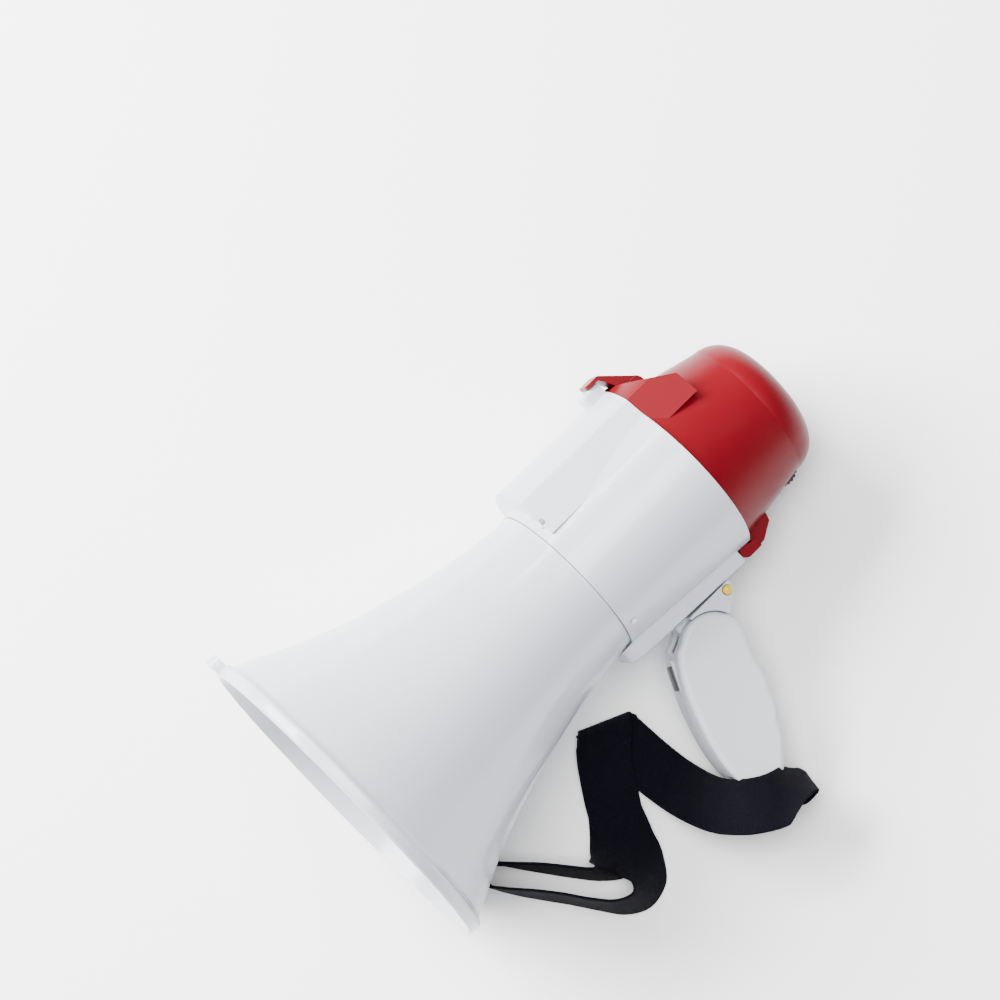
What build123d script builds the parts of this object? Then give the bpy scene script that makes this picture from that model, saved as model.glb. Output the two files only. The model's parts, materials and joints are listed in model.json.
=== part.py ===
from build123d import *
import os
from math import cos, pi, radians, sin, sqrt

# Handheld megaphone with a folding grip. Modelled upright: +X runs from the mouth to the rear cap,
# +Z is the latch side, -Z the grip side, and the origin is the centre of the rim's front plane.
# place() then lays it on its right side on the ground, resting on rim, cap and grip end.

# ---- driving dimensions, mm ----
RIM_R = 80.0            # outer radius of the bell's rim
RIM_BAND = 8.0          # axial width of the thick rim band
FLARE_R = 76.6          # bell radius just behind the rim band
WALL = 2.2              # moulded wall
NECK_X = 140.0          # where the bell enters the body shell
NECK_R = 39.2
SPIGOT_R = 37.6
SPIGOT_LENGTH = 10.0
SEAM_X = 211.0          # joint between body shell and rear cap
SHELL_FRONT_R = 40.4
SHELL_REAR_R = 44.6
LOBE_FRONT_X = 144.5
LOBE_TOP_Z = 49.6       # raised bulge along the top of the shell
LOBE_EDGE_Y = 25.0
LOBE_FOOT_Y = 34.0
BOSS_LENGTH = 10.0      # catch boss that the latch closes over
BOSS_HALF_WIDTH = 6.5
BOSS_TOP_Z = 55.4
CAP_FRONT_R = 43.6
CAP_REAR_R = 35.0
CAP_LENGTH = 59.0
CAP_CORNER = 16.0
CAP_DROOP = 2.6         # degrees the cap's crown points below the axis
CAP_SPIGOT_R = 40.6     # ring on the shell that the cap closes round
GAP = 0.3               # clearance between pieces that move past each other
RAIL_FRONT_X = 134.0
RAIL_HALF_WIDTH = 15.0
RAIL_FRONT_Z = -45.6
RAIL_REAR_Z = -48.3
HINGE_X = SEAM_X - 4.0  # cap hinge pin
HINGE_Z = -45.2
HINGE_PIN_R = 1.25
KNUCKLE_R = 3.2
KNUCKLE_MID = 5.0       # half width of the rail's middle knuckle
KNUCKLE_OUT = 12.0      # outer half width of the cap's knuckles
LATCH_X = 222.5         # latch pin
LATCH_Z = 42.2
LATCH_R = 4.6
LATCH_HALF_WIDTH = 8.0
PIVOT_X = 166.5         # folding grip's hinge
PIVOT_Z = -65.7
PIVOT_PIN_R = 2.5
RUN = 0.05              # radial clearance of a running fit
GRIP_LEAN = 25.0        # degrees from upright, lower end towards the mouth
GRIP_TOP_R = 15.5
GRIP_HALF_WIDTH = 14.0
BRACKET_HALF_WIDTH = 13.4
GRIP_LENGTH = 70.0      # hinge to lower end
FOLD_ANGLE = 34.0       # travel of the folding grip
TONGUE_HALF_WIDTH = 4.6
TONGUE_HALF_DEPTH = 6.0
CELL_R = 13.1           # C size cell
CELL_LENGTH = 50.0
CELL_OFFSET = 13.4
CELL_X = 174.0
VOLUME_X = 246.0
VOLUME_Z = -31.0
VOLUME_R = 8.5
POST_Y, POST_Z = 11.0, 26.0   # the two screw posts that carry the amplifier board

ROLL = -70.57           # how the megaphone lies: roll about its own axis, then tip of the axis
TIP = 9.73
LAY_X, LAY_Y, LAY_Z = -127.32, 27.74, 79.62     # brings the bottom centre of the whole part to the origin


# ---- small helpers ----
def block(x0, x1, y0, y1, z0, z1):
    """Box given by its two corners."""
    return Pos((x0 + x1) / 2, (y0 + y1) / 2, (z0 + z1) / 2) * Box(x1 - x0, y1 - y0, z1 - z0)


def rod(x0, x1, r, y=0.0, z=0.0):
    """Cylinder along X."""
    return Pos((x0 + x1) / 2, y, z) * Rot(0, 90, 0) * Cylinder(r, x1 - x0)


def tube(x0, x1, r_out, r_in, y=0.0, z=0.0):
    """Hollow cylinder along X."""
    return rod(x0, x1, r_out, y, z) - rod(x0 - 1, x1 + 1, r_in, y, z)


def cross(y0, y1, r, x, z):
    """Cylinder along Y."""
    return Pos(x, (y0 + y1) / 2, z) * Rot(90, 0, 0) * Cylinder(r, y1 - y0)


def upright(x, y, z0, z1, r):
    """Cylinder along Z."""
    return Pos(x, y, (z0 + z1) / 2) * Cylinder(r, z1 - z0)


def closed(*lines):
    """Face inside a closed run of lines and arcs."""
    return make_face(Wire([edge for line in lines for edge in line.edges()]))


def turned(*lines):
    """Solid of revolution about X, from a closed half profile in X and radius."""
    return revolve(closed(*lines), Axis.X)


def plate(face, y0, y1):
    """Face drawn in X and Z, made into a plate from y0 to y1."""
    return Pos(0, y0, 0) * Rot(90, 0, 0) * extrude(face, -(y1 - y0))


def ring_of(count, shape, start=0.0):
    """Copies of a shape spaced evenly round the X axis."""
    return Part() + [Rot(start + 360 / count * i, 0, 0) * shape for i in range(count)]


# ---- horn ----
def bell_curve(inset):
    """The flare, from the rim band back to the neck."""
    points = [(RIM_BAND, FLARE_R), (22, 69.8), (38, 62.6), (58, 55.4), (85, 47.8), (112, 42.2), (NECK_X, NECK_R)]
    return Spline([(x, r - inset) for x, r in points])


def make_horn_bell():
    outside, inside = bell_curve(0), bell_curve(WALL)
    neck_end = NECK_X + SPIGOT_LENGTH
    band = RIM_BAND - 1.5
    profile = [
        outside,
        Polyline([(RIM_BAND, FLARE_R), (band, RIM_R - 2)]),
        ThreePointArc((band, RIM_R - 2), (band - 0.8, RIM_R - 0.5), (band - 2.2, RIM_R)),
        Line((band - 2.2, RIM_R), (1.5, RIM_R)),
        ThreePointArc((1.5, RIM_R), (0.4, RIM_R - 0.5), (0, RIM_R - 1.5)),
        Polyline([(0, RIM_R - 1.5), (0, 77.0), (RIM_BAND, FLARE_R - WALL)]),
        inside,
        Polyline([(NECK_X, NECK_R - WALL), (NECK_X, SPIGOT_R - WALL), (neck_end, SPIGOT_R - WALL),
                  (neck_end, SPIGOT_R), (NECK_X, SPIGOT_R), (NECK_X, NECK_R)]),
    ]
    bell = turned(*profile)
    lug = block(0, 5, -7, 7, RIM_R - 3, RIM_R + 6.5)
    lug = fillet(lug.edges().filter_by(Axis.X).group_by(Axis.Z)[-1], 5)
    lug -= rod(-1, 6, 1.6, 0, RIM_R + 2.5)
    pilots = ring_of(4, upright(NECK_X + 5, 0, 30, 40, 1.0), 45)
    return bell + lug - pilots


CUP_X = 61.0            # front of the reflector's closed dome


def make_reflector_cup():
    outer = [Line((CUP_X, 0), (CUP_X, 6)), ThreePointArc((CUP_X, 6), (CUP_X + 5, 18), (CUP_X + 16, 25)),
             Line((CUP_X + 16, 25), (CUP_X + 44, 30))]
    lip = Line((CUP_X + 44, 30), (CUP_X + 44, 28))
    inner = [Line((CUP_X + 44, 28), (CUP_X + 17, 23)), ThreePointArc((CUP_X + 17, 23), (CUP_X + 7.4, 16.8),
                                                                    (CUP_X + 3, 6)),
             Polyline([(CUP_X + 3, 6), (CUP_X + 3, 0), (CUP_X, 0)])]
    cup = turned(*outer, lip, *inner)
    collar = tube(CUP_X + 26, CUP_X + 38, 17.2, 15.6)
    fin = block(CUP_X + 26, CUP_X + 38, -1, 1, 16.8, 25.6)
    return cup + collar + ring_of(3, fin)


def make_throat_tube():
    rear = BAFFLE_X - 0.4
    outer = Spline([(rear, 11.5), (CUP_X + 45, 12.6), (CUP_X + 18, 15.0)])
    inner = Spline([(CUP_X + 18, 13.2), (CUP_X + 45, 10.8), (rear, 9.7)])
    return turned(outer, Line((CUP_X + 18, 15), (CUP_X + 18, 13.2)), inner, Line((rear, 9.7), (rear, 11.5)))


# ---- sound driver, behind the baffle ----
BAFFLE_X = NECK_X - 3.2
DRIVER_X = NECK_X + 4


def make_driver_baffle():
    plate_ = tube(BAFFLE_X, NECK_X - 0.2, 36.4, 9.7)
    seat = tube(NECK_X - 0.2, DRIVER_X - 0.4, 27.0, 22.5)
    return plate_ + seat - ring_of(3, rod(BAFFLE_X - 1, DRIVER_X, 1.3, 0, 24.7))


def make_driver_diaphragm():
    """Thin dome with a shallow cone round it."""
    x = NECK_X + 1.2
    front = Polyline([(x, 0), (x, 3), (x + 0.7, 6.2), (x + 2.4, 9), (x + 2.0, 22.2)])
    rear = Polyline([(x + 2.0, 22.2), (x + 2.4, 22.2), (x + 2.8, 8.8), (x + 1.0, 5.8), (x + 0.4, 2.8),
                     (x + 0.4, 0), (x, 0)])
    return turned(front, rear)


def make_driver_yoke():
    return rod(DRIVER_X + 14, DRIVER_X + 18, 22) + rod(DRIVER_X + 1, DRIVER_X + 14, 7.6)


# ---- body shell ----
def lobe_section(inset):
    """Half round bulge with falling flanks, seen along X, drawn in Y and Z."""
    top, edge, foot = LOBE_TOP_Z - inset, LOBE_EDGE_Y - inset, LOBE_FOOT_Y - inset
    edge_z = LOBE_TOP_Z - 7.4 - inset
    foot_z = 24.5
    arc = ThreePointArc((-edge, edge_z), (0, top), (edge, edge_z))
    sides = Polyline([(edge, edge_z), (foot, foot_z), (-foot, foot_z), (-edge, edge_z)])
    return closed(arc, sides)


def lobe(x0, x1, inset=0.0):
    return Plane(origin=(x0, 0, 0), x_dir=(0, 1, 0), z_dir=(1, 0, 0)) * extrude(lobe_section(inset), x1 - x0)


def shell_body(inset, x0, x1):
    """Tapered barrel of the body shell."""
    slope = (SHELL_REAR_R - SHELL_FRONT_R) / (SEAM_X - NECK_X)
    r0 = SHELL_FRONT_R + slope * (x0 - NECK_X) - inset
    r1 = SHELL_FRONT_R + slope * (x1 - NECK_X) - inset
    return turned(Polyline([(x0, 0), (x0, r0), (x1, r1), (x1, 0), (x0, 0)]))


def make_body_shell():
    front = NECK_X + GAP
    barrel = shell_body(0, front, SEAM_X)
    bulge = lobe(LOBE_FRONT_X, SEAM_X)
    bulge = fillet(bulge.edges().filter_by(Axis.X).group_by(Axis.Z)[-1], 1.6)
    boss = block(SEAM_X - BOSS_LENGTH - 0.4, SEAM_X - 0.4, -BOSS_HALF_WIDTH, BOSS_HALF_WIDTH, 44, BOSS_TOP_Z)
    boss = fillet(boss.edges().filter_by(Axis.X).group_by(Axis.Z)[-1], 2.0)
    boss = fillet(boss.faces().sort_by(Axis.X)[0].edges().group_by(Axis.Z)[-1], 2.0)
    shell = barrel + bulge + boss
    shell -= shell_body(WALL, front - 1, SEAM_X + 1)
    shell -= lobe(LOBE_FRONT_X + WALL, SEAM_X - WALL, WALL)
    shell += tube(SEAM_X - 6, SEAM_X + 4, CAP_SPIGOT_R, CAP_SPIGOT_R - 1.6)
    shell += tube(SEAM_X - 6, SEAM_X - 4, SHELL_REAR_R - 1.5, CAP_SPIGOT_R - 0.2)
    wide = KNUCKLE_OUT + 0.5
    shell -= cross(-wide, wide, KNUCKLE_R + 0.5, HINGE_X, HINGE_Z)
    shell -= block(HINGE_X, SEAM_X + 1, -wide, wide, HINGE_Z - 5, HINGE_Z + KNUCKLE_R + 0.5)
    shell -= ring_of(4, upright(NECK_X + 5, 0, 34, 60, 1.6), 45)
    shell -= [upright(x, 0, -50, -30, 1.3) for x in RAIL_SCREWS_X]
    return shell


# ---- rail, bracket and cap hinge on the grip side ----
RAIL_SCREWS_X = (154.5, 196.0)


def make_base_rail():
    outline = Polyline([(RAIL_FRONT_X, RAIL_FRONT_Z), (SEAM_X - 0.3, RAIL_REAR_Z), (SEAM_X - 0.3, -30),
                        (RAIL_FRONT_X, -30), (RAIL_FRONT_X, RAIL_FRONT_Z)])
    rail = plate(closed(outline), -RAIL_HALF_WIDTH, RAIL_HALF_WIDTH)
    rail = fillet(rail.edges().filter_by(Axis.Z).group_by(Axis.X)[0], 9)
    low = rail.faces().sort_by(Axis.Z)[0].edges().sort_by(Axis.X)[:-1]
    rail = fillet(low, 1.2)
    rail -= shell_body(0, RAIL_FRONT_X - 1, SEAM_X + 1)
    rail += upright(RAIL_SCREWS_X[0], 0, RAIL_FRONT_Z - 2.2, RAIL_FRONT_Z + 1, 3.6)
    # one middle knuckle holds the cap's hinge pin; the cap's own two knuckles run beside it
    rail -= block(HINGE_X - KNUCKLE_R - 1.0, SEAM_X + 1, -20, 20, -60, -30)
    knuckle = cross(-KNUCKLE_MID, KNUCKLE_MID, KNUCKLE_R, HINGE_X, HINGE_Z)
    knuckle += block(HINGE_X - KNUCKLE_R - 2.0, HINGE_X, -KNUCKLE_MID, KNUCKLE_MID, RAIL_REAR_Z + 0.3, HINGE_Z + 0.8)
    rail += knuckle - shell_body(0, 100, 220)
    rail -= cross(-6, 6, HINGE_PIN_R + 0.02, HINGE_X, HINGE_Z)
    rail -= [upright(x, 0, -60, -30, 1.3) for x in RAIL_SCREWS_X]
    rail -= [upright(x, 0, -60, -44.9, 2.7) for x in RAIL_SCREWS_X]
    return rail


def make_handle_bracket():
    """Block under the rail with a hollow underside that follows the grip's round top, and a tongue."""
    top = RAIL_REAR_Z - 0.1
    outline = Polyline([(PIVOT_X + 0.5, top), (PIVOT_X + 25.2, top), (PIVOT_X + 23.8, -53.4),
                        (PIVOT_X + 14.8, -59.8), (PIVOT_X + 0.5, -59.8), (PIVOT_X + 0.5, top)])
    body = plate(closed(outline), -BRACKET_HALF_WIDTH, BRACKET_HALF_WIDTH)
    body = fillet(body.edges().filter_by(Axis.Y).group_by(Axis.X)[-1], 1.0)
    body -= cross(-20, 20, GRIP_TOP_R + 0.6, PIVOT_X, PIVOT_Z)
    tongue = block(PIVOT_X - TONGUE_HALF_DEPTH, PIVOT_X + TONGUE_HALF_DEPTH, -TONGUE_HALF_WIDTH,
                   TONGUE_HALF_WIDTH, PIVOT_Z, top)
    tongue += cross(-TONGUE_HALF_WIDTH, TONGUE_HALF_WIDTH, TONGUE_HALF_DEPTH, PIVOT_X, PIVOT_Z)
    foot = block(PIVOT_X - TONGUE_HALF_DEPTH, PIVOT_X + 8, -TONGUE_HALF_WIDTH, TONGUE_HALF_WIDTH, -49.7, top)
    body = body + tongue + foot
    body -= cross(-8, 8, PIVOT_PIN_R + 0.02, PIVOT_X, PIVOT_Z)
    body -= cross(-15, -8.5, BUTTON_R + 0.3, BUTTON_X, BUTTON_Z)
    body -= cross(-9, -6.0, 1.6, BUTTON_X, BUTTON_Z)
    body -= block(BUTTON_X - 2.3, BUTTON_X + 2.3, -6.0, -2.8, BUTTON_Z - 2.2, BUTTON_Z + 2.0)
    return body


BUTTON_R = 2.2
BUTTON_X = PIVOT_X + 21.4
BUTTON_Z = -51.3
BUTTON_TRAVEL = 1.2


def make_siren_button():
    head = cross(-16.0, -11.6, BUTTON_R, BUTTON_X, BUTTON_Z)
    head = fillet(head.faces().sort_by(Axis.Y)[0].edges(), 1.6)
    return head + cross(-11.6, -7.6, 0.9, BUTTON_X, BUTTON_Z)


# ---- battery pack ----
def cell_places():
    return [(y, z) for z in (CELL_OFFSET, -CELL_OFFSET) for y in (-CELL_OFFSET, CELL_OFFSET)]


def make_battery_holder():
    front = rod(CELL_X - 5, CELL_X - 3, 34)
    rear = rod(CELL_X + CELL_LENGTH + 3, CELL_X + CELL_LENGTH + 5, 32.4)
    return front + rear + rod(CELL_X - 3, CELL_X + CELL_LENGTH + 3, 5.0)


def make_battery_cell(y, z, flipped):
    can = rod(CELL_X + 0.2, CELL_X + CELL_LENGTH - 1.8, CELL_R, y, z)
    can = fillet(can.edges(), 0.8)
    can += rod(CELL_X + CELL_LENGTH - 1.9, CELL_X + CELL_LENGTH - 0.2, 3.2, y, z)
    if flipped:
        middle = CELL_X + CELL_LENGTH / 2
        can = Pos(middle, 0, 0) * Rot(0, 180, 0) * Pos(-middle, 0, 0) * can
        can = Pos(0, y - can.center().Y, z - can.center().Z) * can
    return can


def make_contact_springs():
    """One cone spring against the flat end of each cell."""
    coil = Helix(pitch=1.0, height=2.0, radius=4.2, cone_angle=-12)
    wire = sweep(Plane(coil @ 0, z_dir=coil % 0) * Circle(0.35), path=coil)
    springs = []
    for i, (y, z) in enumerate(cell_places()):
        if i in (0, 3):
            springs.append(Pos(CELL_X - 2.6, y, z) * Rot(0, 90, 0) * wire)
        else:
            springs.append(Pos(CELL_X + CELL_LENGTH + 2.6, y, z) * Rot(0, -90, 0) * wire)
    return springs


# ---- rear cap ----
def cap_solid(inset):
    """Closed round form of the cap, shrunk by inset, its crown drooping a little."""
    rear = SEAM_X + CAP_LENGTH
    front = SEAM_X - 3
    r0, r1 = CAP_FRONT_R - inset, CAP_REAR_R - inset
    x1 = rear - CAP_CORNER - 1.5
    corner = CAP_CORNER - inset
    tip = rear - inset
    low_r = r1 - corner + 2.0
    form = turned(
        Polyline([(front, 0), (front, r0), (x1, r1)]),
        ThreePointArc((x1, r1), (x1 + corner * sin(radians(48)), r1 - corner * (1 - cos(radians(48)))),
                      (x1 + corner - 0.6, low_r)),
        ThreePointArc((x1 + corner - 0.6, low_r), (tip - 0.35, low_r / 2), (tip, 0)),
        Line((tip, 0), (front, 0)))
    form = Pos(SEAM_X, 0, 0) * Rot(0, CAP_DROOP, 0) * Pos(-SEAM_X, 0, 0) * form
    return form - block(SEAM_X - 9, SEAM_X + GAP, -60, 60, -60, 60)


def make_rear_cap():
    cap = cap_solid(0)
    hump = lobe(SEAM_X + GAP, SEAM_X + 24)
    slope = Pos(SEAM_X + 20, 0, 50.5) * Rot(0, 33, 0) * Box(60, 90, 20)
    cap += hump - slope
    ear = cross(LATCH_HALF_WIDTH + GAP, LATCH_HALF_WIDTH + 3.4, 3.8, LATCH_X, LATCH_Z)
    ear += block(LATCH_X - 3.8, LATCH_X + 3.8, LATCH_HALF_WIDTH + GAP, LATCH_HALF_WIDTH + 3.4, 39.4, LATCH_Z)
    cap += ear + mirror(ear, Plane.XZ)
    tab_bottom = RAIL_REAR_Z + 0.3
    tab = Polyline([(SEAM_X + 0.8, -38), (SEAM_X + 0.8, tab_bottom + 1.6), (SEAM_X + 2.2, tab_bottom),
                    (SEAM_X + 5.5, tab_bottom + 0.2), (SEAM_X + 13.5, -43.0), (SEAM_X + 15, -38),
                    (SEAM_X + 0.8, -38)])
    cap += plate(closed(tab), -10.5, 10.5)
    for y0, y1 in ((-KNUCKLE_OUT, -KNUCKLE_MID - 0.4), (KNUCKLE_MID + 0.4, KNUCKLE_OUT)):
        cap += cross(y0, y1, KNUCKLE_R, HINGE_X, HINGE_Z)
        cap += block(HINGE_X, SEAM_X + 3, y0, y1, HINGE_Z - KNUCKLE_R, HINGE_Z + 1.4)
    cap -= cap_solid(WALL) + rod(SEAM_X - 1, SEAM_X + 1, CAP_FRONT_R - WALL)
    cap -= rod(SEAM_X, SEAM_X + 4.8, CAP_SPIGOT_R + 0.7)
    recess = block(SEAM_X, LATCH_X + LATCH_R + 1.2, -LATCH_HALF_WIDTH - GAP, LATCH_HALF_WIDTH + GAP, LATCH_Z, 60)
    recess += cross(-LATCH_HALF_WIDTH - GAP, LATCH_HALF_WIDTH + GAP, LATCH_R + GAP, LATCH_X, LATCH_Z)
    cap -= recess
    cap -= cross(-14, 14, 1.27, LATCH_X, LATCH_Z)
    cap -= cross(-KNUCKLE_OUT + 0.8, KNUCKLE_OUT - 0.8, HINGE_PIN_R + RUN, HINGE_X, HINGE_Z)
    cap -= block(VOLUME_X - 8.2, VOLUME_X + 8.2, -2.2, 2.2, -42, -33)
    cap -= rod(SEAM_X + CAP_LENGTH - 8, SEAM_X + CAP_LENGTH + 2, 9.2)
    cap += [rod(VOLUME_X - 4, VOLUME_X + 20, 2.6, y, POST_Z) & cap_solid(0.5) for y in (-POST_Y, POST_Y)]
    cap -= [rod(VOLUME_X - 5, VOLUME_X + 2, 1.0, y, POST_Z) for y in (-POST_Y, POST_Y)]
    return cap


def make_latch():
    """Plate that lies over the hump and the catch boss, with a barrel round the pin."""
    barrel = cross(-LATCH_HALF_WIDTH, LATCH_HALF_WIDTH, LATCH_R, LATCH_X, LATCH_Z)
    under = BOSS_TOP_Z + 0.35
    front = SEAM_X - 6.0
    arm = Polyline([(front, under), (SEAM_X + 0.5, under), (LATCH_X - 3.4, LATCH_Z + 0.5), (LATCH_X, LATCH_Z),
                    (LATCH_X + 2.2, LATCH_Z + 4.0), (SEAM_X + 1.5, under + 1.7), (front, under + 1.7),
                    (front, under)])
    arm = plate(closed(arm), -LATCH_HALF_WIDTH, LATCH_HALF_WIDTH)
    arm = fillet(arm.edges().filter_by(Axis.Z).group_by(Axis.X)[0], 3.0)
    return arm + barrel - cross(-14, 14, 1.25 + RUN, LATCH_X, LATCH_Z)


def make_mic_grille():
    rear = SEAM_X + CAP_LENGTH
    disc = rod(rear - 2.2, rear - 0.2, 9.0)
    disc = fillet(disc.edges().group_by(Axis.X)[-1], 0.7)
    disc -= ring_of(6, rod(rear - 4, rear + 1, 0.9, 0, 3.2)) + ring_of(12, rod(rear - 4, rear + 1, 0.9, 0, 6.2))
    return disc - rod(rear - 4, rear + 1, 0.9)


def make_board_heatsink():
    base = block(VOLUME_X - 1.2, VOLUME_X + 0.6, -15, 2, 10, 22)
    fins = [block(VOLUME_X + 0.6, VOLUME_X + 6, -15 + 3.95 * i, -13.8 + 3.95 * i, 10, 22) for i in range(5)]
    return base + fins


# ---- volume control ----
def make_volume_wheel():
    wheel = cross(-1.5, 1.5, VOLUME_R, VOLUME_X, VOLUME_Z)
    notch = cross(-2, 2, 0.55, 0, 0)
    for i in range(24):
        turn = 2 * pi * i / 24
        wheel -= Pos(VOLUME_X + VOLUME_R * cos(turn), 0, VOLUME_Z + VOLUME_R * sin(turn)) * notch
    return wheel - cross(-3, 3, 1.5 + RUN, VOLUME_X, VOLUME_Z)


# ---- folding grip, drawn with U down the grip from the hinge and V to the rear ----
def grip_point(u, v):
    lean = radians(GRIP_LEAN)
    return (PIVOT_X - u * sin(lean) + v * cos(lean), PIVOT_Z - u * cos(lean) - v * sin(lean))


def grip_outline(inset=0.0):
    """Side view of the grip: round top, full front, finger waves at the rear and a rounded lower end."""
    top = GRIP_TOP_R - inset
    end = GRIP_LENGTH - inset
    front = [(-3.0, -17.2 + inset), (7, -18.9 + inset), (20, -19.0 + inset), (36, -17.2 + inset),
             (48, -14.6 + inset), (58, -10.6 + inset), (end - 2.6, -3.0 + inset / 2)]
    waves = [(13, 16.4 - inset), (27, 18.2 - inset), (41, 17.0 - inset), (54, 14.9 - inset), (64, 10.4 - inset)]
    edges = [ThreePointArc(grip_point(2, top), grip_point(-top, 0), grip_point(-6.5, -top + 1.6)),
             Line(grip_point(-6.5, -top + 1.6), grip_point(*front[0])),
             Spline([grip_point(*p) for p in front]),
             ThreePointArc(grip_point(*front[-1]), grip_point(end, 4), grip_point(*waves[-1])),
             Line(grip_point(*waves[0]), grip_point(2, top))]
    for (u0, v0), (u1, v1) in zip(waves, waves[1:]):
        crest = ((u0 + u1) / 2, (v0 + v1) / 2 + 1.1)
        edges.append(ThreePointArc(grip_point(u0, v0), grip_point(*crest), grip_point(u1, v1)))
    return closed(*edges)


def tongue_slot():
    """Opening in the grip's top that the bracket's tongue passes through while the grip folds."""
    d, reach = TONGUE_HALF_DEPTH + 0.5, 21.0
    turn = radians(-FOLD_ANGLE - 1)
    corners = [(d, 0), (d, reach)]
    for x, z in ((d, reach), (-d, reach), (-d, 0)):
        corners.append((x * cos(turn) + z * sin(turn), z * cos(turn) - x * sin(turn)))
    corners.append(corners[0])
    face = closed(Polyline([(PIVOT_X + x, PIVOT_Z + z) for x, z in corners]))
    half = TONGUE_HALF_WIDTH + 0.5
    return plate(face, -half, half) + cross(-half, half, d + 0.6, PIVOT_X, PIVOT_Z)


PTT_U, PTT_TRAVEL = 8.6, 2.0
PTT_FACE_V = -19.0
LOCK_U, LOCK_V, LOCK_R, LOCK_TRAVEL = 24.0, 4.0, 3.0, 1.6
GRIP_SCREWS = ((22.0, 11.5), (40.0, -8.0), (56.0, 4.0))
STRAP_BAR = (62.5, 2.5)
STRAP_LEAN = -14.0      # the webbing leaves the grip a little to the rear of straight down


def on_front(u, v, shape):
    """Moves a shape built at the origin with -X outward to the grip's front face."""
    x, z = grip_point(u, v)
    return Pos(x, 0, z) * Rot(0, GRIP_LEAN, 0) * shape


def grip_shell():
    half = GRIP_HALF_WIDTH
    outer = plate(grip_outline(), -half, half)
    outer = fillet(outer.faces().filter_by(Axis.Y).edges(), 2.8)
    inner = plate(grip_outline(WALL), -half + WALL, half - WALL)
    shell = outer - inner + cross(-half + 1, half - 1, 5.4, PIVOT_X, PIVOT_Z)
    for u, v in GRIP_SCREWS:
        shell += cross(-half + 1, half - 1, 3.2, *grip_point(u, v))
    frame = fillet(Box(1.6, 9.0, 17).edges().filter_by(Axis.X), 3)
    shell += on_front(PTT_U, PTT_FACE_V + 0.3, frame)
    shell -= tongue_slot()
    shell -= cross(-9.6, 9.6, PIVOT_PIN_R + RUN, PIVOT_X, PIVOT_Z)
    shell -= on_front(PTT_U, PTT_FACE_V + 1.5, Box(8, 4.4, 11.8))
    shell -= cross(half - 4, half + 1, LOCK_R + GAP, *grip_point(LOCK_U, LOCK_V))
    for u, v in GRIP_SCREWS:
        x, z = grip_point(u, v)
        shell -= cross(-half + 2.4, half + 2, 1.25, x, z) + cross(half - 2.4, half + 2, 2.7, x, z)
    return shell - plate(strap_mouth(), -8, 8)


def strap_mouth():
    """Opening in the grip's lower end that leaves room for the webbing round the bar."""
    corners = [(58.5, -16), (57.5, -4.5), (57.5, 9.0), (59.5, 18), (82, 18), (82, -16), (58.5, -16)]
    return closed(Polyline([grip_point(u, v) for u, v in corners]))


def grip_half(side):
    half = block(0, 260, 0, 30, -200, 0) if side > 0 else block(0, 260, -30, 0, -200, 0)
    return grip_shell() & half


def make_ptt_trigger():
    """Narrow paddle with a wider foot that stays inside the grip."""
    paddle = Pos(0.7, 0, 0) * Box(5.0, 3.8, 11.2)
    foot = Pos(3.9, 0, 0) * Box(1.8, 7.0, 13.4)
    return on_front(PTT_U, PTT_FACE_V, paddle + foot)


def make_ptt_switch():
    """Small push switch that stands on the grip's left half."""
    body = Pos(11.6, -0.5, 0) * Box(4.0, 7.0, 9.0)
    return on_front(PTT_U + 3.2, PTT_FACE_V, body + Pos(9.2, -0.5, 0) * Box(1.2, 3.0, 2.4))


def make_fold_lock_button():
    x, z = grip_point(LOCK_U, LOCK_V)
    half = GRIP_HALF_WIDTH
    stem = cross(half - 2.6, half + 1.9, LOCK_R, x, z)
    stem = fillet(stem.faces().sort_by(Axis.Y)[-1].edges(), 0.8)
    return stem + cross(half - 4.4, half - 2.6, LOCK_R + 1.2, x, z)


def coil_spring(radius, length, turns, wire_r):
    coil = Helix(pitch=length / turns, height=length, radius=radius)
    return sweep(Plane(coil @ 0, z_dir=coil % 0) * Circle(wire_r), path=coil)


def make_ptt_spring():
    """Return spring beside the switch, standing on the grip's inner web."""
    return on_front(PTT_U - 4.2, PTT_FACE_V + 7.4, Rot(0, 90, 0) * coil_spring(1.6, 4.6, 4, 0.25))


def make_fold_lock_spring():
    x, z = grip_point(LOCK_U, LOCK_V)
    return Pos(x, GRIP_HALF_WIDTH - 10.6, z) * Rot(-90, 0, 0) * coil_spring(2.0, 4.2, 4, 0.3)


def make_siren_button_spring():
    """Sits round the button's stem, between the head and the step in the bracket."""
    return Pos(BUTTON_X, -8.85, BUTTON_Z) * Rot(90, 0, 0) * coil_spring(1.75, 1.2, 2, 0.2)


# ---- wrist strap ----
def make_strap_bar():
    x, z = grip_point(*STRAP_BAR)
    return cross(-11.4, 11.4, 1.5, x, z)


def make_strap_anchor():
    """Stitched end of the webbing: a loop round the bar and a double layer that leaves the grip."""
    loop = cross(-7, 7, 3.4, 0, 0) - cross(-8, 8, 1.9, 0, 0)
    tail = block(1.5, 16, -7, 7, -1.6, 1.6)
    x, z = grip_point(*STRAP_BAR)
    return Pos(x, 0, z) * Rot(0, 90 - STRAP_LEAN, 0) * (loop + tail - cross(-8, 8, 1.9, 0, 0))


# ---- fasteners ----
def screw(length, r, head_r, head):
    """Countersunk-free pan screw along Z, head up, top of the head at the origin."""
    return Pos(0, 0, -head / 2) * Cylinder(head_r, head) + Pos(0, 0, -head - length / 2) * Cylinder(r, length)


def make_shell_screws():
    one = Pos(NECK_X + 5, 0, 41.0) * screw(5.0, 0.95, 1.5, 1.2)
    return ring_of(4, one, 45).solids()


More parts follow.
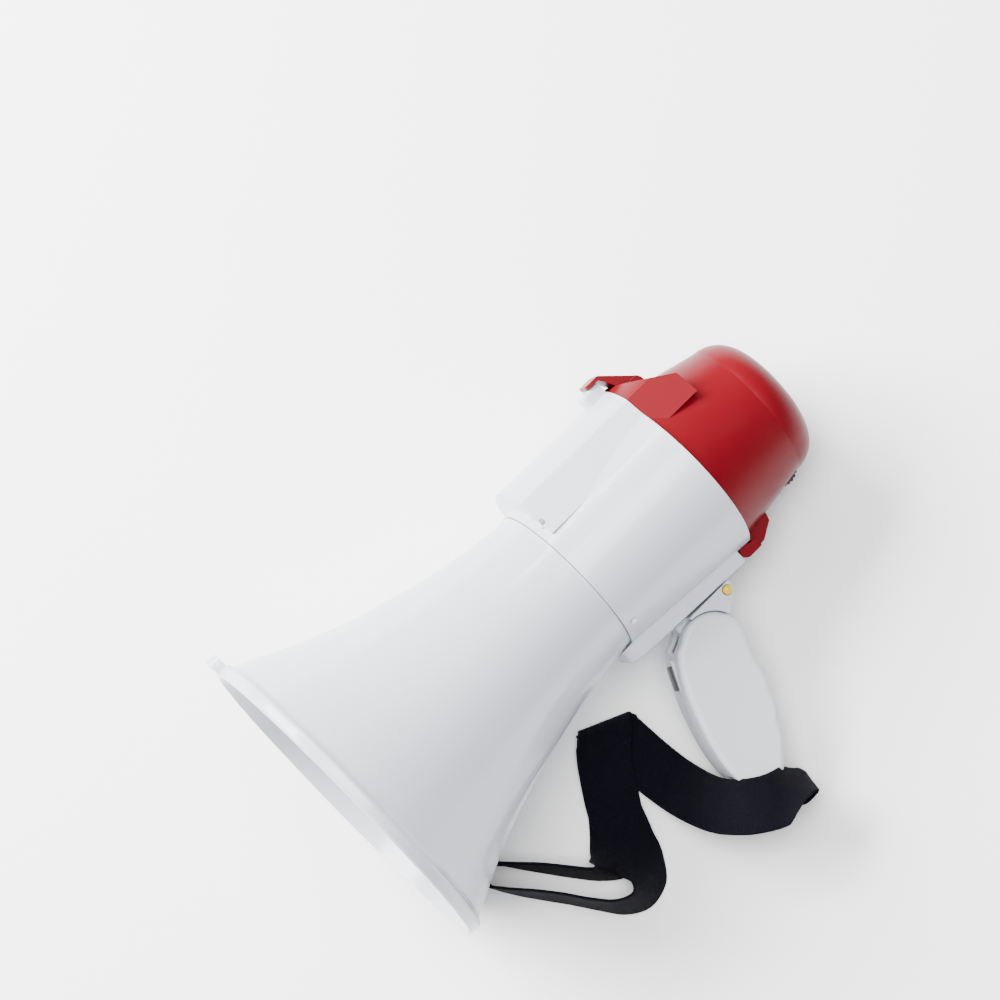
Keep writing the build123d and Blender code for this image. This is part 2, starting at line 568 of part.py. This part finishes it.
def make_handle_screws():
    out = []
    for u, v in GRIP_SCREWS:
        x, z = grip_point(u, v)
        out.append(Pos(x, GRIP_HALF_WIDTH - 0.8, z) * Rot(-90, 0, 0) * screw(16.0, 1.2, 2.5, 1.4))
    return out


def make_rail_screws():
    return [Pos(x, 0, -46.7) * Rot(180, 0, 0) * screw(9.0, 1.2, 2.4, 1.6) for x in RAIL_SCREWS_X]


# ---- lay the megaphone down and write every piece ----
def place(shape):
    return Pos(LAY_X, LAY_Y, LAY_Z) * Rot(0, TIP, 0) * Rot(ROLL, 0, 0) * shape


def floor_wall(points, half, z0, z1):
    """Upright wall of even thickness on the ground along a run of points."""
    run = offset(Polyline(points), half, side=Side.BOTH)
    return Pos(LAY_X, LAY_Y, z0) * extrude(make_face(run.edges()), z1 - z0)


def floor_patch(points, z0, z1):
    return Pos(LAY_X, LAY_Y, z0) * extrude(closed(Polyline(points + [points[0]])), z1 - z0)


def make_strap():
    """The slack loop of webbing on the ground: folded flat by the grip, on edge under the horn."""
    wide_run = floor_patch([(117, -138), (124, -128), (119, -113), (114, -108), (114, -70), (114, -53), (90, -42),
                            (67, -69), (53, -92), (42, -112), (46, -122), (64, -122), (74, -110), (92, -90),
                            (94, -108), (104, -128)], 0.4, 4.4)
    slack = floor_wall([(50, -101), (34, -75), (20, -55), (12, -52), (11, -60), (28, -88), (42, -112)], 1.5, 0.4, 22)
    return wide_run + slack


def write(name, shape, laid=True):
    solids = shape if isinstance(shape, list) else [shape]
    placed = Compound([s for item in solids for s in (place(item) if laid else item).solids()])
    if len(placed.solids()) == 1:
        placed = placed.solids()[0]
    export_step(placed, f"parts/{name}.step")


def main():
    os.makedirs("parts", exist_ok=True)
    write("horn_bell", make_horn_bell())
    write("reflector_cup", make_reflector_cup())
    write("throat_tube", make_throat_tube())
    write("driver_baffle", make_driver_baffle())
    write("driver_diaphragm", make_driver_diaphragm())
    write("voice_coil", tube(NECK_X + 4.1, NECK_X + 12, 9.2, 8.4))
    write("driver_top_plate", tube(DRIVER_X, DRIVER_X + 3, 22, 9.8))
    write("driver_magnet", tube(DRIVER_X + 3.05, DRIVER_X + 13.95, 20, 11))
    write("driver_yoke", make_driver_yoke())
    write("driver_screws", ring_of(3, rod(BAFFLE_X - 1.6, BAFFLE_X, 2.4, 0, 24.7)
                                   + rod(BAFFLE_X, DRIVER_X - 0.5, 1.25, 0, 24.7)).solids())
    write("body_shell", make_body_shell())
    write("shell_screws", make_shell_screws())
    write("neck_gasket", tube(NECK_X + SPIGOT_LENGTH + 0.1, NECK_X + SPIGOT_LENGTH + 1.6, 37.7, 34))
    write("base_rail", make_base_rail())
    write("rail_screws", make_rail_screws())
    write("handle_bracket", make_handle_bracket())
    write("handle_pin", cross(-9.4, 9.4, PIVOT_PIN_R, PIVOT_X, PIVOT_Z))
    write("siren_button", make_siren_button())
    write("siren_switch", block(BUTTON_X - 2.2, BUTTON_X + 2.2, -5.6, -3, BUTTON_Z - 2.1, BUTTON_Z + 1.9))
    write("battery_holder", make_battery_holder())
    for number, (y, z) in enumerate(cell_places(), start=1):
        write(f"battery_cell_{number}", make_battery_cell(y, z, number in (2, 3)))
    write("contact_springs", make_contact_springs())
    write("contact_plate", rod(CELL_X - 5.7, CELL_X - 5.1, 20))
    write("cap_seal", tube(SEAM_X + 0.6, SEAM_X + 2.4, CAP_SPIGOT_R + 0.4, CAP_SPIGOT_R + 0.05))
    write("rear_cap", make_rear_cap())
    write("cap_hinge_pin", cross(-KNUCKLE_OUT + 1, KNUCKLE_OUT - 1, HINGE_PIN_R, HINGE_X, HINGE_Z))
    write("latch", make_latch())
    write("latch_pin", cross(-LATCH_HALF_WIDTH - 3, LATCH_HALF_WIDTH + 3, 1.25, LATCH_X, LATCH_Z))
    write("mic_grille", make_mic_grille())
    rear = SEAM_X + CAP_LENGTH
    write("mic_boot", tube(rear - 9, rear - 2.4, 7.0, 4.9))
    write("mic_capsule", rod(rear - 8.5, rear - 3, 4.85))
    write("amplifier_board", block(VOLUME_X - 6.4, VOLUME_X - 4.8, -18, 18, -14, 26)
          + block(VOLUME_X - 6.4, VOLUME_X - 4.8, -15, 15, 25, 29.4)
          - [rod(VOLUME_X - 7, VOLUME_X - 4, 1.3, y, POST_Z) for y in (-POST_Y, POST_Y)])
    write("board_screws", [rod(VOLUME_X - 7.6, VOLUME_X - 6.4, 2.2, y, POST_Z)
                           + rod(VOLUME_X - 6.4, VOLUME_X, 0.9, y, POST_Z) for y in (-POST_Y, POST_Y)])
    write("board_capacitors", [rod(VOLUME_X - 4.7, VOLUME_X + 7, 3.6, y, -4) for y in (-11, -2, 7)])
    write("board_heatsink", make_board_heatsink())
    write("volume_pot", block(VOLUME_X - 4.6, VOLUME_X + 4.6, 2.6, 8.6, VOLUME_Z - 2.4, VOLUME_Z + 7)
          + cross(-1.4, 2.6, 1.5, VOLUME_X, VOLUME_Z))
    write("volume_wheel", make_volume_wheel())
    write("handle_left", grip_half(-1))
    write("handle_right", grip_half(1))
    write("handle_screws", make_handle_screws())
    write("ptt_trigger", make_ptt_trigger())
    write("ptt_switch", make_ptt_switch())
    write("ptt_spring", make_ptt_spring())
    write("fold_lock_button", make_fold_lock_button())
    write("fold_lock_spring", make_fold_lock_spring())
    write("siren_button_spring", make_siren_button_spring())
    write("strap_bar", make_strap_bar())
    write("strap_anchor", make_strap_anchor())
    write("strap", make_strap(), laid=False)


main()
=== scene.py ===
"""Looks of the handheld megaphone: materials, the wrist strap, the floor, the lights and the camera."""
import json

import bpy
from mathutils import Matrix, Vector


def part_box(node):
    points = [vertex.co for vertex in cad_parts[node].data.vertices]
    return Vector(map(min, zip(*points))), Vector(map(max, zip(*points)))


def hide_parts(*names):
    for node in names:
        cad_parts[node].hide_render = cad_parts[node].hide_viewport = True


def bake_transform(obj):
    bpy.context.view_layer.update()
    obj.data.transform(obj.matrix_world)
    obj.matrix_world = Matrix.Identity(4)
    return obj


MM = 0.001

# ---------------------------------------------------------------- camera
# A long lens 1.3 m above the floor, about 13 degrees off straight down, turned with the picture.
CAMERA_PLACE = Vector((0.0175, -0.2181, 1.2919))
CAMERA_RIGHT = Vector((0.6869, -0.7069, -0.1686))
CAMERA_UP = Vector((0.7267, 0.6684, 0.1585))
CAMERA_LENS = 101.66
CAMERA_SENSOR = 36


def make_camera():
    data = bpy.data.cameras.new("camera")
    data.lens = CAMERA_LENS
    data.sensor_width = CAMERA_SENSOR
    camera = bpy.data.objects.new("camera", data)
    bpy.context.scene.collection.objects.link(camera)
    right = CAMERA_RIGHT.normalized()
    back = right.cross(CAMERA_UP).normalized()
    up = back.cross(right)
    turn = Matrix((right, up, back)).transposed()
    camera.matrix_world = Matrix.Translation(CAMERA_PLACE) @ turn.to_4x4()
    bpy.context.scene.camera = camera


make_camera()
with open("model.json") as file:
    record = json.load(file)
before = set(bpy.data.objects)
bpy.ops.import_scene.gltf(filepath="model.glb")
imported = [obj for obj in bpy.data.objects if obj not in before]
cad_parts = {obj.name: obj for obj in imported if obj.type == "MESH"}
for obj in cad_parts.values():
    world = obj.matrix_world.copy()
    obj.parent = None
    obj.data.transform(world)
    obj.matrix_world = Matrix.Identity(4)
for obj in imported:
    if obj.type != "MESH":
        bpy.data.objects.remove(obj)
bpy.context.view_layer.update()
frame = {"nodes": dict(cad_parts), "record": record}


# ---------------------------------------------------------------- materials
# Most values of a noise texture lie between these two.
NOISE_LOW, NOISE_HIGH = 0.3, 0.7


class Shader:
    """A node material built step by step around one Principled BSDF."""

    def __init__(self, name, **sockets):
        self.material = bpy.data.materials.new(name)
        self.material.use_nodes = True
        self.tree = self.material.node_tree
        self.surface = self.tree.nodes["Principled BSDF"]
        for socket, value in sockets.items():
            self.surface.inputs[socket.replace("_", " ")].default_value = value
        self.place = self.tree.nodes.new("ShaderNodeTexCoord").outputs["Object"]
        self.height = None

    def use_uv(self):
        self.place = self.place.node.outputs["UV"]

    def link(self, source, target):
        self.tree.links.new(source, target)

    def stretched(self, scale):
        """The coordinates scaled by (x, y, z)."""
        node = self.tree.nodes.new("ShaderNodeMapping")
        node.inputs["Scale"].default_value = scale
        self.link(self.place, node.inputs["Vector"])
        return node.outputs["Vector"]

    def noise(self, scale, detail, stretch=None):
        node = self.tree.nodes.new("ShaderNodeTexNoise")
        node.inputs["Scale"].default_value = scale
        node.inputs["Detail"].default_value = detail
        self.link(self.stretched(stretch) if stretch else self.place, node.inputs["Vector"])
        return node.outputs["Fac"]

    def cell_edges(self, scale):
        """How far a point is from the nearest edge of an irregular net of cells."""
        node = self.tree.nodes.new("ShaderNodeTexVoronoi")
        node.feature = "DISTANCE_TO_EDGE"
        node.inputs["Scale"].default_value = scale
        self.link(self.place, node.inputs["Vector"])
        return node.outputs["Distance"]

    def waves(self, scale, direction, stretch):
        node = self.tree.nodes.new("ShaderNodeTexWave")
        node.bands_direction = direction
        node.inputs["Scale"].default_value = scale
        self.link(self.stretched(stretch), node.inputs["Vector"])
        return node.outputs["Fac"]

    def product(self, a, b):
        node = self.tree.nodes.new("ShaderNodeMath")
        node.operation = "MULTIPLY"
        self.link(a, node.inputs[0])
        self.link(b, node.inputs[1])
        return node.outputs["Value"]

    def colours(self, amount, *stops):
        """Base colour from a ramp over amount; each stop is (position, (r, g, b))."""
        ramp = self.tree.nodes.new("ShaderNodeValToRGB")
        elements = ramp.color_ramp.elements
        while len(elements) < len(stops):
            elements.new(0.5)
        for element, (position, colour) in zip(elements, stops):
            element.position = position
            element.color = (*colour, 1)
        self.link(amount, ramp.inputs["Fac"])
        self.link(ramp.outputs["Color"], self.surface.inputs["Base Color"])

    def roughness(self, amount, low, high):
        node = self.tree.nodes.new("ShaderNodeMapRange")
        node.inputs["From Min"].default_value = NOISE_LOW
        node.inputs["From Max"].default_value = NOISE_HIGH
        node.inputs["To Min"].default_value = low
        node.inputs["To Max"].default_value = high
        self.link(amount, node.inputs["Value"])
        self.link(node.outputs["Result"], self.surface.inputs["Roughness"])

    def bump(self, amount, depth, strength):
        """Raises the surface by amount times depth, in metres, on top of earlier bumps."""
        node = self.tree.nodes.new("ShaderNodeBump")
        node.inputs["Distance"].default_value = depth
        node.inputs["Strength"].default_value = strength
        self.link(amount, node.inputs["Height"])
        if self.height:
            self.link(self.height, node.inputs["Normal"])
        self.height = node.outputs["Normal"]
        self.link(self.height, self.surface.inputs["Normal"])


def tones(colour, spread):
    """A slightly darker and a slightly lighter stop around colour."""
    return (
        (NOISE_LOW, tuple(c * (1 - spread) for c in colour)),
        (NOISE_HIGH, tuple(min(1, c * (1 + spread)) for c in colour)),
    )


def moulded(name, colour, rough, grain, spread=0.025, **sockets):
    """Moulded plastic: faint flow tones, uneven gloss, slow sink waviness and a grain of that depth."""
    made = Shader(name, **sockets)
    made.colours(made.noise(scale=14, detail=4), *tones(colour, spread))
    made.roughness(made.noise(scale=55, detail=6), *rough)
    made.bump(made.noise(scale=38, detail=2), depth=0.00012, strength=0.35)
    made.bump(made.noise(scale=1900, detail=3), depth=grain, strength=0.8)
    return made.material


def metal(name, colour, rough, lines, **sockets):
    """Plated or drawn metal with cloudy tones and fine lines; lines stretches the noise along them."""
    made = Shader(name, Metallic=1.0, **sockets)
    made.colours(made.noise(scale=120, detail=4), *tones(colour, spread=0.1))
    made.roughness(made.noise(scale=900, detail=5, stretch=lines), *rough)
    made.bump(made.noise(scale=2600, detail=3, stretch=lines), depth=0.00001, strength=0.7)
    return made.material


def webbing():
    """Woven nylon, laid out in mm on the strap: ribs along it crossed by picks, and slow unevenness."""
    made = Shader("webbing", Specular_IOR_Level=0.06, Sheen_Weight=0.01, Sheen_Roughness=0.5)
    made.use_uv()
    ribs = made.waves(scale=0.5, direction="X", stretch=(1.1, 0, 0))
    picks = made.waves(scale=0.5, direction="Y", stretch=(0, 1.0, 0))
    weave = made.product(ribs, picks)
    # Painted shade: the colour follows the weave's height, darker in the hollows between the yarns and
    # lighter on the raised crossings.
    made.colours(
        weave,
        (0.0, (0.0012, 0.0012, 0.0030)),
        (0.45, (0.0028, 0.0028, 0.0065)),
        (1.0, (0.006, 0.006, 0.012)),
    )
    made.roughness(made.noise(scale=2.2, detail=4), low=0.72, high=0.92)
    made.bump(made.noise(scale=0.35, detail=3), depth=0.0006, strength=0.4)
    made.bump(weave, depth=0.00035, strength=0.9)
    return made.material


def circuit_board():
    """Green lacquered board with paler tracks between its cells."""
    made = Shader("board", Coat_Weight=0.4, Coat_Roughness=0.15)
    tracks = made.cell_edges(scale=170)
    made.colours(
        tracks,
        (0.0, (0.10, 0.42, 0.20)),
        (0.06, (0.012, 0.16, 0.06)),
        (1.0, (0.010, 0.13, 0.05)),
    )
    made.roughness(made.noise(scale=400, detail=4), low=0.25, high=0.45)
    made.bump(made.noise(scale=1500, detail=4, stretch=(1, 0.2, 1)), depth=0.00003, strength=0.6)
    return made.material


def wound_copper():
    """Varnished copper wire with the fine ridges of a winding."""
    made = Shader("copper", Metallic=1.0, Coat_Weight=0.5, Coat_Roughness=0.1)
    made.colours(made.noise(scale=300, detail=3), *tones((0.72, 0.30, 0.13), spread=0.15))
    made.roughness(made.noise(scale=700, detail=3), low=0.2, high=0.35)
    made.bump(made.noise(scale=1400, detail=2, stretch=(1, 0.15, 0.15)), depth=0.00006, strength=0.9)
    return made.material


MATERIALS = {
    "white_plastic": moulded(
        "white_plastic", (0.50, 0.525, 0.58), rough=(0.13, 0.22), grain=4e-6, spread=0.012
    ),
    "grip_plastic": moulded(
        "grip_plastic", (0.50, 0.52, 0.56), rough=(0.36, 0.5), grain=18e-6, spread=0.015
    ),
    "red_plastic": moulded(
        "red_plastic", (0.122, 0.0018, 0.0058), rough=(0.3, 0.42), grain=5e-6, spread=0.05, IOR=1.22
    ),
    "white_inner": moulded("white_inner", (0.70, 0.72, 0.77), rough=(0.38, 0.55), grain=12e-6),
    "black_plastic": moulded(
        "black_plastic", (0.018, 0.018, 0.02), rough=(0.38, 0.58), grain=20e-6, spread=0.15
    ),
    "dark_grey_plastic": moulded(
        "dark_grey_plastic", (0.05, 0.05, 0.056), rough=(0.4, 0.6), grain=20e-6, spread=0.12
    ),
    "yellow_plastic": moulded(
        "yellow_plastic",
        (0.62, 0.43, 0.015),
        rough=(0.22, 0.34),
        grain=6e-6,
        spread=0.05,
        Coat_Weight=0.3,
        Coat_Roughness=0.1,
    ),
    "steel": metal("steel", (0.60, 0.60, 0.62), rough=(0.22, 0.4), lines=(1, 0.08, 0.08)),
    "magnet": moulded(
        "magnet", (0.05, 0.05, 0.054), rough=(0.45, 0.7), grain=40e-6, spread=0.2, Metallic=0.4
    ),
    "film": moulded(
        "film", (0.50, 0.40, 0.20), rough=(0.12, 0.22), grain=6e-6, spread=0.08, Coat_Weight=0.4
    ),
    "copper": wound_copper(),
    "spring_steel": metal("spring_steel", (0.68, 0.68, 0.70), rough=(0.12, 0.26), lines=(0.1, 1, 0.1)),
    "cell_can": metal(
        "cell_can", (0.62, 0.63, 0.66), rough=(0.2, 0.38), lines=(1, 0.1, 0.1), Coat_Weight=0.3
    ),
    "board": circuit_board(),
    "heatsink": metal("heatsink", (0.56, 0.57, 0.60), rough=(0.28, 0.5), lines=(0.06, 1, 1)),
    "gasket": moulded("gasket", (0.012, 0.012, 0.014), rough=(0.6, 0.82), grain=30e-6, spread=0.2),
    "webbing": webbing(),
}

for part in frame["record"]["subparts"]:
    slots = frame["nodes"][part["node"]].data.materials
    slots.clear()
    slots.append(MATERIALS[part["material_slot"]])


# ---------------------------------------------------------------- wrist strap
# Lengths here are in mm.
STRAP_WIDTH = 25.0
STRAP_THICK = 1.3
STRAP_STEP = 1.0  # between cross-sections
LAYER_GAP = 0.85  # from the middle of a folded pair to each layer's own middle
FLOOR_GAP = 0.1  # the least height of the webbing above the floor
BAR_RADIUS = 3.0  # from the bar's axis to the middle of the webbing that goes round it
EDGE_UV = 0.6  # half of what an edge takes up in the weave

# The grip's own directions at rest: towards its lower end, towards the rear, and along the strap bar.
GRIP_DOWN = Vector((-0.467, -0.855, -0.226))
GRIP_REAR = Vector((0.870, -0.399, -0.291))
ACROSS = Vector((-0.159, 0.332, -0.930))

# Each station below is the middle of the webbing and the way its width points, in the shared frame.
bar_low, bar_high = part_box("strap_bar")
bar = (bar_low + bar_high) / 2 / MM


def at_bar(down, rear):
    return bar + GRIP_DOWN * down + GRIP_REAR * rear


FROM_BAR = [
    (at_bar(0, BAR_RADIUS), ACROSS),
    (at_bar(6, 2.2), ACROSS),
    (at_bar(13, 3.5), ACROSS),
    (Vector((9.5, -108.8, 13.5)), ACROSS),
    (Vector((16.4, -109.9, 14.5)), ACROSS),
    (Vector((20.8, -108.5, 16)), Vector((0.05, 0.38, -0.92))),
    (Vector((17.6, -106.2, 19.5)), Vector((0.25, 0.48, -0.84))),
    (Vector((13.0, -106.1, 26)), Vector((0.4, 0.6, -0.69))),
    (Vector((5.0, -104.2, 32)), Vector((0.58, 0.8, -0.12))),
    (Vector((-1.8, -100.6, 33)), Vector((0.68, 0.73, 0))),
    (Vector((-9, -94.5, 30)), Vector((0.78, 0.6, 0.12))),
    (Vector((-16, -85, 20)), Vector((0.92, 0.36, 0.15))),
    (Vector((-20.5, -73, 10.5)), Vector((0.98, 0.16, 0.08))),
    (Vector((-23, -61, 4.6)), Vector((1, 0.07, 0.02))),
]
TO_BAR = [
    (at_bar(0, -BAR_RADIUS), ACROSS),
    (at_bar(6, -2.2), ACROSS),
    (at_bar(12, -4), Vector((-0.05, 0.3, -0.95))),
    (Vector((-4.5, -101, 11.8)), Vector((0.25, 0.3, -0.9))),
    (Vector((-9.5, -97.5, 9.8)), Vector((0.55, 0.3, -0.75))),
    (Vector((-14.5, -89, 6)), Vector((0.85, 0.3, -0.35))),
    (Vector((-19.5, -76, 2.4)), Vector((0.97, 0.2, -0.06))),
    (Vector((-23, -61, 1.8)), Vector((1, 0.07, 0))),
]
FOLD_LINE = Vector((0.905, -0.425, 0))  # the width keeps to this line while the webbing turns over
FOLD_SLANT = 0.87  # keeps a cross-section from growing too long where the run is slanted to it
BOTH_LAYERS = [
    (Vector((-24.3, -48, 2.2)), Vector((1, 0.05, 0))),
    (Vector((-24.8, -36, 2.2)), Vector((0.98, -0.1, 0))),
    (Vector((-25.0, -27, 2.2)), Vector((0.94, -0.3, 0))),
    (Vector((-25.0, -22.0, 2.3)), FOLD_LINE),
    (Vector((-25.4, -20.4, 3.9)), FOLD_LINE),
    (Vector((-26.8, -22.0, 5.5)), FOLD_LINE),
    (Vector((-31.0, -26.0, 5.5)), Vector((0.83, -0.56, 0))),
    (Vector((-36, -30.5, 5.2)), Vector((0.75, -0.67, 0))),
    (Vector((-43, -39.5, 3.6)), Vector((0.79, -0.62, 0))),
    (Vector((-50, -50, 2.4)), Vector((0.83, -0.56, 0))),
]
INNER_STRAND = [
    (Vector((-56.8, -58.0, 1.7)), Vector((0.8, -0.6, 0))),
    (Vector((-61.8, -63.5, 3.6)), Vector((0.76, -0.62, -0.2))),
    (Vector((-66.2, -68.2, 7.6)), Vector((0.55, -0.58, -0.6))),
    (Vector((-71.6, -69.8, 11.2)), Vector((0.12, -0.34, -0.93))),
    (Vector((-77.3, -65.4, 12.6)), Vector((-0.08, -0.17, -0.98))),
    (Vector((-84.1, -56.7, 12.9)), Vector((-0.12, -0.12, -0.98))),
    (Vector((-91.2, -47.2, 12.9)), Vector((-0.1, -0.1, -0.99))),
    (Vector((-98.3, -38.3, 12.8)), Vector((-0.05, -0.05, -1))),
    (Vector((-105.3, -29.6, 12.8)), Vector((0, 0, -1))),
]
STRAND_END = [(Vector((-112.5, -24.5, 12.8)), Vector((0, 0, -1)))]
OUTER_STRAND = [
    (Vector((-54.6, -60.6, 3.6)), Vector((0.84, -0.54, 0))),
    (Vector((-57.6, -68.5, 5.0)), Vector((0.89, -0.42, -0.15))),
    (Vector((-59.6, -77.3, 8.3)), Vector((0.77, -0.26, -0.57))),
    (Vector((-62.6, -85.6, 11.2)), Vector((0.36, -0.36, -0.86))),
    (Vector((-70.3, -89.0, 12.4)), Vector((0.0, -0.3, -0.95))),
    (Vector((-79.2, -84.6, 12.7)), Vector((-0.1, -0.22, -0.97))),
    (Vector((-86.7, -75.0, 12.8)), Vector((-0.1, -0.16, -0.98))),
    (Vector((-93.8, -64.2, 12.8)), Vector((-0.1, -0.14, -0.98))),
    (Vector((-101.5, -53.6, 12.9)), Vector((-0.1, -0.1, -0.99))),
    (Vector((-109.8, -42.4, 12.8)), Vector((-0.05, -0.05, -1))),
    (Vector((-115.3, -32.6, 12.8)), Vector((0, 0, -1))),
]


def smooth(stations, step):
    """Catmull-Rom samples through a closed ring of stations, about step apart, each one [middle, width]."""
    count = len(stations)
    for i in range(count):
        a, b, c, d = (stations[(i + k) % count] for k in (-1, 0, 1, 2))
        pieces = max(2, round((c[0] - b[0]).length / step))
        for k in range(pieces):
            t = k / pieces
            weights = (
                (-t + 2 * t**2 - t**3) / 2,
                (2 - 5 * t**2 + 3 * t**3) / 2,
                (t + 4 * t**2 - 3 * t**3) / 2,
                (t**3 - t**2) / 2,
            )
            yield [
                sum((end[j] * weight for end, weight in zip((a, b, c, d), weights)), Vector((0, 0, 0)))
                for j in (0, 1)
            ]


def layer(stations, side):
    """The shared run's stations moved to one side of it, so that two layers lie on each other."""
    moved = []
    for i, (middle, width) in enumerate(stations):
        ahead = stations[min(i + 1, len(stations) - 1)][0] - stations[max(i - 1, 0)][0]
        moved.append((middle + width.cross(ahead).normalized() * side * LAYER_GAP, width))
    return moved


def strap_ring():
    """The whole loop: off the bar, out through the fold, round the far end, and back to the bar."""
    there = FROM_BAR + layer(BOTH_LAYERS, 1) + INNER_STRAND
    back = TO_BAR + layer(BOTH_LAYERS, -1) + OUTER_STRAND
    return there + STRAND_END + back[::-1] + [(at_bar(-BAR_RADIUS, 0), ACROSS)]


# Across the webbing, as shares of half its width and of its thickness: how far from the middle, and how
# thick there. The woven edges are a little fuller.
PROFILE = [
    (-1, 0.75),
    (-0.93, 1.12),
    (-0.84, 0.96),
    (-0.45, 1),
    (0, 1),
    (0.45, 1),
    (0.84, 0.96),
    (0.93, 1.12),
    (1, 0.75),
]


def strap_sections(samples):
    """The points of every cross-section, in metres, and how far along the strap each one lies, in mm."""
    points, reached = [], [0.0]
    for i, (middle, width) in enumerate(samples):
        following = samples[(i + 1) % len(samples)][0]
        ahead = (following - samples[i - 1][0]).normalized()
        outward = width.normalized()
        slant = max(FOLD_SLANT, (outward - ahead * outward.dot(ahead)).length)
        half = outward * (STRAP_WIDTH / 2 / slant)
        normal = width.cross(ahead).normalized()
        section = [
            middle + half * place + normal * (side * thick * STRAP_THICK / 2)
            for side in (1, -1)
            for place, thick in PROFILE
        ]
        lift = Vector((0, 0, max(0, FLOOR_GAP - min(point.z for point in section))))
        points += [(point + lift) * MM for point in section]
        reached.append(reached[-1] + (following - middle).length)
    return points, reached


def strap_faces(reached):
    """The quads from each cross-section to the next, and their corners' places in the weave, in mm."""
    count, across = len(reached) - 1, len(PROFILE)
    faces, places = [], []
    for i in range(count):
        ring, ahead = i * across * 2, (i + 1) % count * across * 2
        start, end = reached[i], reached[i + 1]
        for k in range(across - 1):
            u0, u1 = ((PROFILE[k + j][0] + 1) * STRAP_WIDTH / 2 for j in (0, 1))
            under = across + k
            faces.append((ring + k, ring + k + 1, ahead + k + 1, ahead + k))
            places += [(u0, start), (u1, start), (u1, end), (u0, end)]
            faces.append((ring + under + 1, ring + under, ahead + under, ahead + under + 1))
            places += [(u1, start), (u0, start), (u0, end), (u1, end)]
        for k, u, flip in ((0, 0.0, False), (across - 1, STRAP_WIDTH, True)):
            edge = [ring + across + k, ring + k, ahead + k, ahead + across + k]
            u0, u1 = u - EDGE_UV, u + EDGE_UV
            corners = [(u0, start), (u1, start), (u1, end), (u0, end)]
            faces.append(tuple(edge[::-1] if flip else edge))
            places += corners[::-1] if flip else corners
    return faces, places


def make_strap():
    points, reached = strap_sections(list(smooth(strap_ring(), STRAP_STEP)))
    faces, places = strap_faces(reached)
    mesh = bpy.data.meshes.new("wrist_strap")
    mesh.from_pydata(points, [], faces)
    weave = mesh.uv_layers.new(name="weave")
    for loop, place in zip(weave.data, places):
        loop.uv = place
    mesh.polygons.foreach_set("use_smooth", [True] * len(mesh.polygons))
    mesh.materials.append(MATERIALS["webbing"])
    mesh.update()
    strap = bpy.data.objects.new("wrist_strap", mesh)
    bpy.context.scene.collection.objects.link(strap)
    return strap


strap = make_strap()
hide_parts("strap", "strap_anchor")
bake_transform(strap)


# ---------------------------------------------------------------- floor and light
FLOOR_REACH = 4.0
WORLD_COLOUR = (0.97, 0.98, 1.0, 1)
WORLD_STRENGTH = 0.36


def make_floor():
    mesh = bpy.data.meshes.new("floor")
    corners = [(x * FLOOR_REACH, y * FLOOR_REACH, 0) for x, y in ((-1, -1), (1, -1), (1, 1), (-1, 1))]
    mesh.from_pydata(corners, [], [(0, 1, 2, 3)])
    made = Shader("floor", Specular_IOR_Level=0.2)
    made.colours(made.noise(scale=3, detail=2), *tones((0.93, 0.93, 0.935), spread=0.004))
    made.roughness(made.noise(scale=30, detail=3), low=0.75, high=0.85)
    mesh.materials.append(made.material)
    floor = bpy.data.objects.new("floor", mesh)
    bpy.context.scene.collection.objects.link(floor)


def area_light(name, place, aim, size, power, colour=(1, 1, 1)):
    data = bpy.data.lights.new(name, "AREA")
    data.shape = "RECTANGLE"
    data.size, data.size_y = size
    data.energy = power
    data.color = colour
    light = bpy.data.objects.new(name, data)
    light.location = place
    light.rotation_euler = (Vector(aim) - Vector(place)).to_track_quat("-Z", "Y").to_euler()
    bpy.context.scene.collection.objects.link(light)


def make_world():
    world = bpy.data.worlds.new("studio")
    world.use_nodes = True
    background = world.node_tree.nodes["Background"]
    background.inputs["Color"].default_value = WORLD_COLOUR
    background.inputs["Strength"].default_value = WORLD_STRENGTH
    bpy.context.scene.world = world


make_floor()
make_world()
area_light(
    "key", place=(-0.45, 1.25, 1.05), aim=(0, 0, 0.05), size=(1.4, 0.9), power=160, colour=(1.0, 0.99, 0.97)
)
area_light("strip", place=(0.3, 0.95, 1.15), aim=(0, 0, 0.06), size=(1.0, 0.07), power=11)
area_light("top", place=(0.1, -0.1, 1.9), aim=(0, 0, 0), size=(1.2, 1.2), power=62)
area_light(
    "fill", place=(-1.2, -0.7, 0.8), aim=(0, 0, 0.05), size=(1.0, 1.0), power=4, colour=(0.95, 0.97, 1.0)
)
